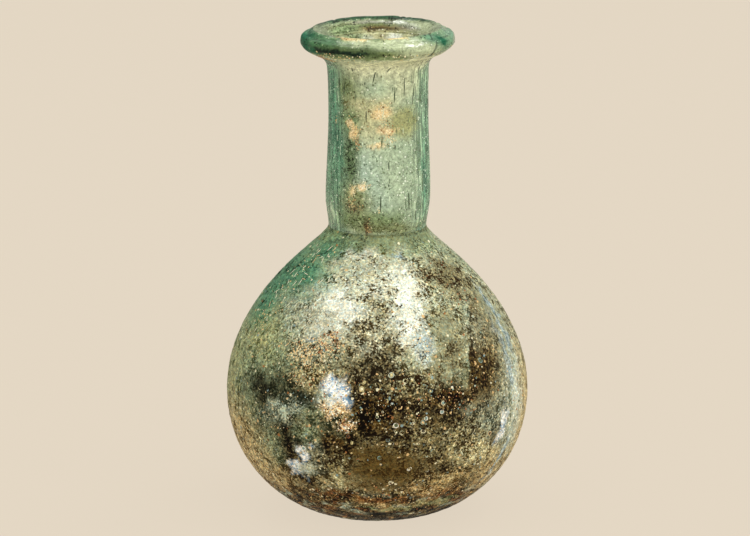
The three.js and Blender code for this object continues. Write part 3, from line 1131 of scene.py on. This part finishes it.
def build_lining(settings):
    """A closed film, a little inside the wall, from the throat to the floor."""
    wall = hollow_outline(settings.spacing / MM)
    near, far = set_off(wall, LINING_GAP), set_off(wall, LINING_GAP + settings.film / MM)
    surface = Turned(np.vstack([near[::-1], far]), steps_around(settings.turns, 0.65))
    points = surface.points
    thin_haze = film_row("haze")
    thin_haze[9:12] *= (0.4, 0.4, 0.3)
    in_belly = grow(points[:, 2], SHOULDER[1] + 3, SHOULDER[1] - 3)
    values = blend(np.tile(thin_haze, (len(points), 1)), film_row("belly"), in_belly)
    values = lay_film_marks(points, 31, values, BORE_STAINS_AND_HIGHLIGHTS)
    return film_piece("soil_lining", surface, values, np.zeros((len(points), 2)), 0.5, 0.4)


def ring_film(settings, outside):
    """A closed ring of film along an open outline, worn as the rim is."""
    under = set_off(outside, -RING_FILM)
    surface = Turned(np.vstack([outside, under[::-1]]), steps_around(settings.turns * 2, 0.6), ring=True)
    is_outer = np.arange(len(surface.points)) < len(surface.points) // 2
    inward = surface.normals * np.where(is_outer, -1, 1)[:, None]
    surface.points += inward * rim_wear(surface.points)[:, None]
    return surface


def first_over(outline, height):
    """The index of the first point of an outline that isn't below a height."""
    return int(np.argmax(outline[:, 1] >= height))


def build_neck_film(settings):
    """Haze and soil over the outside of the neck, from the crease to the underside of the roll."""
    tube, flare = neck_outline(settings.spacing / MM * 0.6), rim_outline(settings.spacing / MM * 0.5)
    flare = flare[: first_over(flare, UNDERSIDE[1])]
    surface = ring_film(settings, np.vstack([tube[tube[:, 1] > PINCH[1] - 0.01], flare, [UNDERSIDE]]))
    points, height = surface.points, surface.points[:, 2]
    around = degrees_round(points)
    behind = grow(np.abs(around), 95, 125)
    values = np.tile(film_row("haze"), (len(points), 1))
    for look, seed in (("sea", 51), ("olive_speckle", 52), ("cool_haze", 53)):
        drift = patchy(uneven(points * np.array([1, 1, 0.5]), 4.5, seed), 3, 0.4)
        values = blend(values, film_row(look), drift * behind)
    values = lay_film_marks(points, 42, values, NECK_STAINS)
    share = np.interp(around + 6 * uneven(points, 3, 45), *zip(*HAZE_AROUND))
    values[:, 9] *= share + (1 - share) * values[:, 12]
    streaks = np.maximum(grow(np.abs(points[:, 0]) / reach(points), 0.6, 0.85), grow(height, 85, 115, 0.16))
    rings = grow(height, PINCH[1] + 3.5, PINCH[1] + 1.5, 0.6) * (1 - streaks)
    return film_piece("neck_film", surface, values, np.column_stack([streaks, rings]), 0.34, 0.35)


def build_rim_film(settings):
    """The glossy skin of the rim, from under the roll over it and the lip to the throat."""
    outside = rim_outline(settings.spacing / MM * 0.35)
    surface = ring_film(settings, np.vstack([outside[first_over(outside, UNDERSIDE[1]) :], [THROAT]]))
    points, height = surface.points, surface.points[:, 2]
    in_mouth = (height > THROAT[1] - 0.1) & (reach(points) < LIP[0])
    values = np.where(in_mouth[:, None], film_row("mouth"), film_row("rim"))
    values = lay_film_marks(points, 42, values, RIM_STAINS_HIGHLIGHTS_AND_SHADE, ~in_mouth, 0.7)
    values = blend(values, film_row("rim_shade_and_seam"), seam_of_fold(points) * 0.8)
    values = lay_film_marks(points, 42, values, MOUTH_STAINS_AND_HIGHLIGHTS, in_mouth, 0.35)
    rings = 0.75 * grow(height, UNDERSIDE[1], UNDERSIDE[1] + 1.5)
    return film_piece("rim_film", surface, values, np.column_stack([0.16 - 0.2 * rings, rings]), 0.34, 0.22)


# ---------------------------------------------------------------- bubbles and grains of soil


class Spread:
    """A Geometry Nodes tree that sets one small shape on each point of a mesh."""

    def __init__(self, name):
        self.name = name
        self.tree = bpy.data.node_groups.new(name, "GeometryNodeTree")
        self.socket("Geometry", "NodeSocketGeometry")
        self.tree.interface.new_socket("Geometry", in_out="OUTPUT", socket_type="NodeSocketGeometry")
        self.material = self.socket("Material", "NodeSocketMaterial")
        self.sizes = {}
        self.entry = self.tree.nodes.new("NodeGroupInput")

    def socket(self, name, kind):
        return self.tree.interface.new_socket(name, in_out="INPUT", socket_type=kind)

    def size(self, name, value):
        """A named input of the tree for a size, which gets the value given."""
        self.sizes[self.socket(name, "NodeSocketFloat").identifier] = value
        return self.entry.outputs[name]

    def add(self, kind, settings=None, **inputs):
        """Adds a node and takes its first output."""
        node = self.tree.nodes.new("GeometryNode" + kind)
        for key, value in (settings or {}).items():
            setattr(node, key, value)
        for key, value in inputs.items():
            socket = node.inputs[key.replace("_", " ")]
            if isinstance(value, bpy.types.NodeSocket):
                self.tree.links.new(value, socket)
            else:
                socket.default_value = value
        return node.outputs[0]

    def marked(self, mesh, heart):
        """Marks whether a shape is the heart of a bubble or not."""
        kind = {"data_type": "FLOAT"}
        return self.add("StoreNamedAttribute", kind, Geometry=mesh, Name="heart", Value=heart)

    def finish(self, shape):
        """Sets the shape on every point, as the point's own turn and scale say."""
        kind = {"data_type": "FLOAT_VECTOR"}
        turn, scale = (self.add("InputNamedAttribute", kind, Name=key) for key in ("turn", "scale"))
        points, material = self.entry.outputs["Geometry"], self.entry.outputs["Material"]
        spread = self.add("InstanceOnPoints", Points=points, Instance=shape, Rotation=turn, Scale=scale)
        real = self.add("SetShadeSmooth", Geometry=self.add("RealizeInstances", Geometry=spread))
        leave = self.tree.nodes.new("NodeGroupOutput")
        self.tree.links.new(self.add("SetMaterial", Geometry=real, Material=material), leave.inputs[0])

    def piece(self, seeds, material):
        """Runs the tree on a mesh of points and keeps the result as a plain mesh."""
        carrier = in_scene(self.name + "_points", seeds)
        modifier = carrier.modifiers.new("spread", "NODES")
        modifier.node_group = self.tree
        modifier[self.material.identifier] = material
        for identifier, value in self.sizes.items():
            modifier[identifier] = value
        scene_now = bpy.context.evaluated_depsgraph_get()
        mesh = bpy.data.meshes.new_from_object(
            carrier.evaluated_get(scene_now), preserve_all_data_layers=True, depsgraph=scene_now
        )
        mesh.name = self.name
        carrier.modifiers.remove(modifier)
        bpy.data.objects.remove(carrier)
        return add_piece(self.name, mesh, material)


# Colours of bubbles and crumbs.
GRAIN_SHADES = {
    "cream": (232, 222, 182),
    "tan": (228, 190, 132),
    "rust": (158, 98, 56),
    "straw": (206, 190, 134),
    "white": (244, 242, 226),
    "sea": (124, 150, 142),
    "mist": (188, 194, 174),
    "umber": (54, 40, 18),
    "earthy": (112, 84, 50),
    "moss": (74, 84, 48),
    "dark_glass": (52, 66, 40),
    "green_glass": (74, 96, 62),
    "pale_glass": (206, 220, 190),
    "pale_thread": (226, 218, 188),
    "tan_thread": (216, 176, 126),
}

# Bubbles that show singly: angle, height, width, rim shade and heart shade.
SINGLE_BUBBLES = (
    (6, 12.6, 1.4, "cream", "white"),
    (-6, 32.8, 1.2, "straw", "cream"),
    (5.5, 35.5, 1.3, "mist", "straw"),
    (8, 29.3, 1.6, "tan", "earthy"),
    (21, 22, 1.7, "straw", "moss"),
    (12.5, 32.5, 1.2, "cream", "sea"),
    (18.5, 26.6, 1.0, "white", "sea"),
    (7, 25.5, 1.3, "white", "moss"),
    (22, 25.4, 1.3, "straw", "umber"),
    (17.5, 24, 1.2, "cream", "umber"),
    (16, 30.4, 1.1, "tan", "rust"),
    (25, 27.6, 1.0, "white", "sea"),
    (-34, 15.2, 1.7, "white", "cream"),
    (-29.5, 19.6, 1.1, "white", "sea"),
    (-20, 38.2, 1.1, "cream", "straw"),
    (1, 18.5, 1.1, "sea", "moss"),
    (9.5, 19.8, 1.2, "cream", "straw"),
    (4, 22.4, 0.9, "sea", "umber"),
    (-44, 55.8, 0.9, "white", "cream"),
)

# Where bubbles crowd: angle, height, spread in degrees, spread in height and how many.
BUBBLE_CROWDS = (
    (18, 27, 11, 4.5, 120),
    (4, 22, 14, 6, 90),
    (-26, 37, 9, 3, 40),
    (0, 28, 40, 12, 90),
    (150, 30, 70, 10, 120),
)
BUBBLE_RIMS = ("cream", "straw", "tan", "sea", "moss", "white", "rust")
RIM_SHARES = (0.28, 0.22, 0.14, 0.14, 0.1, 0.06, 0.06)
BUBBLE_HEARTS = ("umber", "moss", "sea", "straw", "cream", "umber", "tan")

# Bubbles drawn out along the neck: angle, height, length in millimetres and lean.
LONG_BUBBLES = (
    (-29, 94, 2.6, 0),
    (-4, 92.9, 5.0, -13),
    (11.8, 94.2, 2.6, -30),
    (19, 89, 3.8, -3),
    (31, 90.4, 4.6, 0),
    (44, 88.6, 5.2, -7),
    (-15, 91.3, 0.7, 0),
    (11.7, 74.3, 2.1, 0),
    (11.7, 70.4, 0.7, 0),
    (56, 88, 3.4, 4),
    (-14, 84.6, 2.6, 0),
    (19, 78.2, 1.2, 0),
    (3, 66.6, 3.8, 0),
    (36, 66.8, 4.0, 2),
    (47, 63.6, 2.4, 12),
    (58, 70, 4.4, -2),
    (-42, 90, 2.8, -6),
    (-50, 91, 2.2, 0),
)

# Crumbs of soil: angle, height, spread in degrees, spread in height, how many and shades.
NECK_CRUMBS = (
    (3, 85.4, 7, 1.3, 170, ("tan", "cream", "tan")),
    (11, 82, 8, 1.1, 90, ("tan", "cream", "rust")),
    (0, 78.6, 6, 0.5, 40, ("cream", "straw")),
    (14, 79.6, 6, 0.7, 40, ("tan", "straw", "cream")),
    (-34, 82.8, 3.5, 0.6, 80, ("tan", "cream")),
    (-26, 81, 3, 1.2, 80, ("tan", "straw")),
    (-23, 78.8, 3, 0.9, 40, ("tan", "rust")),
    (-57, 82.7, 1.6, 0.4, 14, ("tan", "cream")),
    (-17, 70.1, 4, 0.6, 110, ("cream", "white", "tan")),
    (-29.5, 69, 3, 0.8, 70, ("cream", "straw")),
    (-32, 66.4, 2, 0.7, 25, ("cream", "tan")),
    (1, 65.2, 1.6, 0.5, 16, ("tan", "cream")),
    (-24, 66, 6, 1.2, 50, ("umber", "earthy", "tan")),
    (-11, 61.4, 2.4, 1.0, 26, ("umber", "earthy", "tan")),
    (-48, 96, 2.5, 0.4, 22, ("rust", "tan")),
    (-36, 97, 14, 0.7, 60, ("tan", "straw", "cream")),
    (20, 97.4, 40, 0.8, 60, ("cream", "moss", "straw")),
)
BELLY_CRUMBS = (
    (-32, 38.6, 6, 1.6, 260, ("tan", "cream", "tan")),
    (-23, 40.4, 5, 1.3, 200, ("tan", "rust", "cream")),
    (-27, 34.5, 7, 2.2, 120, ("tan", "straw", "rust")),
    (-19, 42.6, 2, 0.8, 34, ("rust", "tan")),
    (-17.5, 28.6, 3.6, 1.3, 190, ("tan", "white", "cream")),
    (-12, 25.4, 2.2, 1.0, 90, ("tan", "white", "rust")),
    (-66, 42, 5, 3, 60, ("tan", "straw")),
    (-62, 50, 10, 5, 70, ("cream", "tan")),
    (-48, 24, 8, 3, 60, ("tan", "cream")),
    (20, 41, 5, 3, 80, ("tan", "cream")),
    (2, 31, 28, 4, 260, ("cream", "tan", "rust", "sea")),
    (30, 30, 8, 2, 70, ("tan", "rust")),
    (0, 9, 34, 2.4, 260, ("rust", "tan", "straw")),
    (46, 50, 12, 4, 90, ("umber", "umber", "rust")),
    (0, 50, 24, 5, 120, ("umber", "straw", "umber")),
    (180, 34, 60, 13, 360, ("cream", "tan", "rust", "umber")),
)


class Seeds:
    """Points on the flask's surface, each with a turn, a scale and two shades."""

    def __init__(self):
        self.rows = []

    def put(self, outline, angle, height, scale, lean, shade, inner=None, lift=0.0):
        """scale is in millimetres: across, along and out of the surface."""
        place, normal, right, down = surface_place(outline, angle, height)
        turn = math.radians(lean)
        across = right * math.cos(turn) - down * math.sin(turn)
        basis = Matrix((across, np.cross(normal, across), normal)).transposed()
        held = set_by_hand((place + normal * lift)[None, :])[0]
        shades = (srgb(*GRAIN_SHADES[key]) for key in (shade, inner or shade))
        self.rows.append((held * MM, basis.to_euler(), [v * MM for v in scale], *shades))

    def mesh(self, name):
        places, turns, scales, shades, inners = zip(*self.rows)
        mesh = bpy.data.meshes.new(name)
        mesh.from_pydata([tuple(place) for place in places], [], [])
        for key, rows in (("turn", turns), ("scale", scales)):
            values = np.array([tuple(row) for row in rows], dtype=np.float32)
            mesh.attributes.new(key, "FLOAT_VECTOR", "POINT").data.foreach_set("vector", values.ravel())
        for key, rows in (("shade", shades), ("inner", inners)):
            store(mesh, key, np.array(rows, dtype=float))
        return mesh


def burst_bubble(tree):
    """A raised ring round a shallow dome, one unit wide."""
    path = tree.add("CurvePrimitiveCircle", Resolution=8, Radius=0.42)
    rim = tree.add("CurvePrimitiveCircle", Resolution=3, Radius=tree.size("Rim radius", 0.11))
    ring = tree.add("CurveToMesh", Curve=path, Profile_Curve=rim)
    ball = tree.add("MeshUVSphere", Segments=8, Rings=3, Radius=tree.size("Dome radius", 0.36))
    dome = tree.add("Transform", Geometry=ball, Scale=(1, 1, 0.22))
    both = tree.tree.nodes.new("GeometryNodeJoinGeometry")
    for mesh, heart in ((dome, 1.0), (ring, 0.0)):
        tree.tree.links.new(tree.marked(mesh, heart), both.inputs[0])
    return both.outputs[0]


def build_bubbles(settings):
    chance = np.random.default_rng(settings.seed)
    seeds = Seeds()
    lift = -settings.sunk / MM
    for angle, height, width, rim, heart in SINGLE_BUBBLES:
        seeds.put(SIDE, angle, height, (width, width * 0.92, 0.42), 0, rim, heart, lift)
    for angle, height, spread, rise, count in BUBBLE_CROWDS:
        for _ in range(count):
            at, up = angle + spread * chance.normal(), height + rise * chance.normal()
            width = 0.45 + 0.75 * chance.random() ** 3
            rim = chance.choice(BUBBLE_RIMS, p=RIM_SHARES)
            heart = chance.choice(BUBBLE_HEARTS)
            if 5 < up < 54:
                scale = (width, width * chance.uniform(0.8, 1.0), 0.3)
                seeds.put(SIDE, at, up, scale, chance.uniform(-40, 40), rim, heart, lift)
    tree = Spread("burst_bubbles")
    tree.finish(burst_bubble(tree))
    return tree.piece(seeds.mesh("bubble_points"), grain_material("bubble_glass", 0.35))


def build_long_bubbles(settings):
    chance = np.random.default_rng(settings.seed + 1)
    seeds = Seeds()
    for angle, height, drawn, lean in LONG_BUBBLES:
        seeds.put(UPPER, angle, height, (0.27, drawn, 0.12), lean, "dark_glass")
    for _ in range(110):
        angle, height = chance.uniform(-180, 180), chance.uniform(63, 94)
        drawn = 0.5 + 2.2 * chance.random() ** 2
        shade = "green_glass" if chance.random() < 0.6 else "pale_glass"
        seeds.put(UPPER, angle, height, (0.17, drawn, 0.08), chance.normal() * 4, shade)
    for _ in range(60):
        angle, height = chance.uniform(-72, -28), chance.uniform(40, 57)
        shade = "pale_thread" if chance.random() < 0.7 else "tan_thread"
        scale = (0.16, chance.uniform(0.5, 2.0), 0.08)
        seeds.put(SIDE, angle, height, scale, chance.normal() * 35, shade)
    tree = Spread("long_bubbles")
    bubble = tree.add("MeshUVSphere", Segments=6, Rings=6, Radius=tree.size("Bubble radius", 0.5))
    tree.finish(tree.marked(bubble, 0.0))
    return tree.piece(seeds.mesh("long_bubble_points"), grain_material("long_bubble_glass", 0.3))


def build_crumbs(settings):
    chance = np.random.default_rng(settings.seed + 2)
    seeds = Seeds()
    for outline, low, high, lift, crowds in (
        (UPPER, 60.5, 98.0, -0.04, NECK_CRUMBS),
        (SIDE, 3.5, 56.5, -0.062, BELLY_CRUMBS),
    ):
        for angle, height, spread, rise, count, shades in crowds:
            for _ in range(count):
                at = angle + spread * 0.8 * chance.normal()
                up = min(max(height + rise * 0.8 * chance.normal(), low), high)
                width = 0.16 + 0.3 * chance.random() ** 2
                scale = (width, width * chance.uniform(0.7, 1.4), 0.12)
                seeds.put(outline, at, up, scale, chance.uniform(0, 180), chance.choice(shades), lift=lift)
    tree = Spread("soil_crumbs")
    crumb = tree.add("MeshIcoSphere", Subdivisions=1, Radius=tree.size("Crumb radius", 0.5))
    tree.finish(tree.marked(crumb, 0.0))
    return tree.piece(seeds.mesh("crumb_points"), grain_material("soil", 0.85))


# ---------------------------------------------------------------- stage


FLOOR_RADIUS, FLOOR_STEPS = 6.0, 64
FLOOR_GLOW = 0.935
STUDIO_LIGHT = (0.95, 0.98, 0.93)
BRIGHT_SIDE = (0.62, -0.55, 0.56)
AIM = (-0.00045, 0, 0.502 * FLASK_HEIGHT * MM)

# Softboxes: name, place, width and height in metres, and watts.
SOFTBOXES = (
    ("overhead_light", (-0.32, -0.14, 0.98), (0.45, 0.28), 1.1),
    ("strip_light", (0.42, -0.25, 0.9), (0.12, 0.7), 1.1),
    ("back_left_light", (-0.33, 0.36, 0.88), (0.26, 0.16), 1.0),
    ("back_right_light", (0.42, 0.12, 0.9), (0.24, 0.14), 1.1),
    ("front_fill", (0.5, -1.4, 0.7), (0.9, 0.9), 5),
)


def build_floor(backdrop):
    angles = np.linspace(0, 2 * math.pi, FLOOR_STEPS, endpoint=False)
    edge = [(FLOOR_RADIUS * math.cos(a), FLOOR_RADIUS * math.sin(a), 0) for a in angles]
    mesh = bpy.data.meshes.new("floor")
    mesh.from_pydata(edge, [], [tuple(range(FLOOR_STEPS))])
    shader = Shader("floor")
    shader.set(
        Base_Color=(*(0.06 * c for c in backdrop), 1),
        Roughness=1.0,
        Emission_Color=(*backdrop, 1),
        Emission_Strength=FLOOR_GLOW,
        Specular_IOR_Level=0.0,
    )
    mesh.materials.append(shader.material)
    floor = in_scene("floor", mesh)


def light_studio(scene):
    """Soft light all round, brighter from the upper right, and five softboxes."""
    scene.world = bpy.data.worlds.new("studio")
    scene.world.use_nodes = True
    nodes, links = scene.world.node_tree.nodes, scene.world.node_tree.links
    facing = nodes.new("ShaderNodeVectorMath")
    facing.operation = "DOT_PRODUCT"
    facing.inputs[1].default_value = Vector(BRIGHT_SIDE).normalized()
    links.new(nodes.new("ShaderNodeTexCoord").outputs["Generated"], facing.inputs[0])
    strength = nodes.new("ShaderNodeMapRange")
    links.new(facing.outputs["Value"], strength.inputs["Value"])
    for key, number in (("From Min", -0.7), ("From Max", 0.9), ("To Min", 0.24), ("To Max", 1.3)):
        strength.inputs[key].default_value = number
    links.new(strength.outputs["Result"], nodes["Background"].inputs["Strength"])
    nodes["Background"].inputs["Color"].default_value = (*STUDIO_LIGHT, 1)
    for name, at, size, watts in SOFTBOXES:
        lamp = bpy.data.lights.new(name, "AREA")
        lamp.shape = "RECTANGLE"
        lamp.size, lamp.size_y = size
        lamp.energy = watts
        held = in_scene(name, lamp)
        held.location = at
        held.rotation_euler = (Vector((0, 0, 0.05)) - Vector(at)).to_track_quat("-Z", "Y").to_euler()


def build_stage(settings):
    scene = bpy.context.scene
    scene.view_settings.view_transform = "Standard"
    build_floor(settings.backdrop)
    light_studio(scene)
    lens = bpy.data.cameras.new("camera")
    lens.lens = settings.lens
    lens.sensor_width = 36
    lens.clip_end = 30
    camera = in_scene("camera", lens)
    back = Vector((0, -math.cos(settings.elevation), math.sin(settings.elevation)))
    camera.location = Vector(AIM) + settings.distance * back
    camera.rotation_euler = (-back).to_track_quat("-Z", "Y").to_euler()
    scene.camera = camera


# ---------------------------------------------------------------- operators


class FLASK_OT_glass(Operator):
    """Turn the glass of the flask"""

    bl_idname = "flask.glass"
    bl_label = "Glass"

    def execute(self, context):
        piece = build_glass(context.scene.flask_glass, context.scene.flask_crust.thickness / MM)
        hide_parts(NODE)
        return {"FINISHED"}


class FLASK_OT_crust(Operator):
    """Lay the weathering crust over the belly"""

    bl_idname = "flask.crust"
    bl_label = "Weathering crust"

    def execute(self, context):
        build_crust(context.scene.flask_crust)
        return {"FINISHED"}


class FLASK_OT_films(Operator):
    """Line the inside with soil and lay films of haze and soil over the rim and the neck"""

    bl_idname = "flask.films"
    bl_label = "Films"

    def execute(self, context):
        for build in (build_lining, build_rim_film, build_neck_film):
            build(context.scene.flask_films)
        return {"FINISHED"}


class FLASK_OT_grains(Operator):
    """Set burst bubbles, drawn-out bubbles and crumbs of soil on the surface"""

    bl_idname = "flask.grains"
    bl_label = "Bubbles and soil"

    def execute(self, context):
        for build in (build_bubbles, build_long_bubbles, build_crumbs):
            build(context.scene.flask_grains)
        return {"FINISHED"}


class FLASK_OT_stage(Operator):
    """Set the floor, the lights and the camera"""

    bl_idname = "flask.stage"
    bl_label = "Stage"

    def execute(self, context):
        build_stage(context.scene.flask_stage)
        return {"FINISHED"}


class FLASK_PT_panel(Panel):
    """Lists the steps that make the flask"""

    bl_idname = "FLASK_PT_panel"
    bl_label = "Glass Flask"
    bl_space_type = "VIEW_3D"
    bl_region_type = "UI"
    bl_category = "Flask"

    def draw(self, context):
        for operator in OPERATORS:
            self.layout.operator(operator.bl_idname)


SETTINGS = {
    "flask_glass": FlaskGlassSettings,
    "flask_crust": FlaskCrustSettings,
    "flask_films": FlaskFilmSettings,
    "flask_grains": FlaskGrainSettings,
    "flask_stage": FlaskStageSettings,
}
OPERATORS = (FLASK_OT_stage, FLASK_OT_glass, FLASK_OT_crust, FLASK_OT_films, FLASK_OT_grains)
CLASSES = (*SETTINGS.values(), *OPERATORS, FLASK_PT_panel)


def register():
    for cls in CLASSES:
        bpy.utils.register_class(cls)
    for name, group in SETTINGS.items():
        setattr(bpy.types.Scene, name, PointerProperty(type=group))


def unregister():
    for name in SETTINGS:
        delattr(bpy.types.Scene, name)
    for cls in reversed(CLASSES):
        bpy.utils.unregister_class(cls)


def main():
    register()
    bpy.ops.flask.stage()
    bpy.ops.flask.glass()
    bpy.ops.flask.crust()
    bpy.ops.flask.films()
    bpy.ops.flask.grains()


if __name__ == "__main__":
    main()
